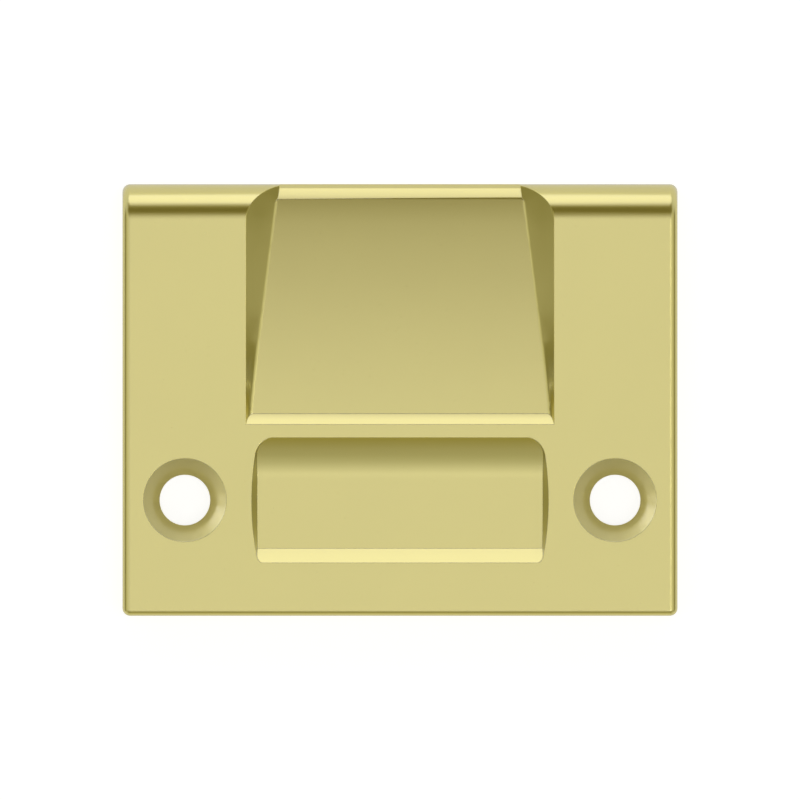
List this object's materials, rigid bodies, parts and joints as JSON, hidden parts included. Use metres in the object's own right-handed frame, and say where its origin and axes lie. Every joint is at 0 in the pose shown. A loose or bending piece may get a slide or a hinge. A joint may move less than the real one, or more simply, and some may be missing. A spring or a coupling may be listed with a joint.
{
  "type": "door strike plate",
  "caption": "Rectangular brass strike plate for a roller catch, with a rounded full-width lip, a tapered ramp, a roller pocket and countersunk screw holes.",
  "frame": {"origin": "centre of the flat back face of the plate", "axes": "+Z out of the show face, +X along the plate's length, +Y across the plate towards the rounded lip"},
  "size_m": [0.0572, 0.0444, 0.004],
  "materials": {
    "brass": "fine satin brass under a clear lacquer"
  },
  "bodies": {
    "root": {"strike_plate": "brass"}
  },
  "joints": []
}
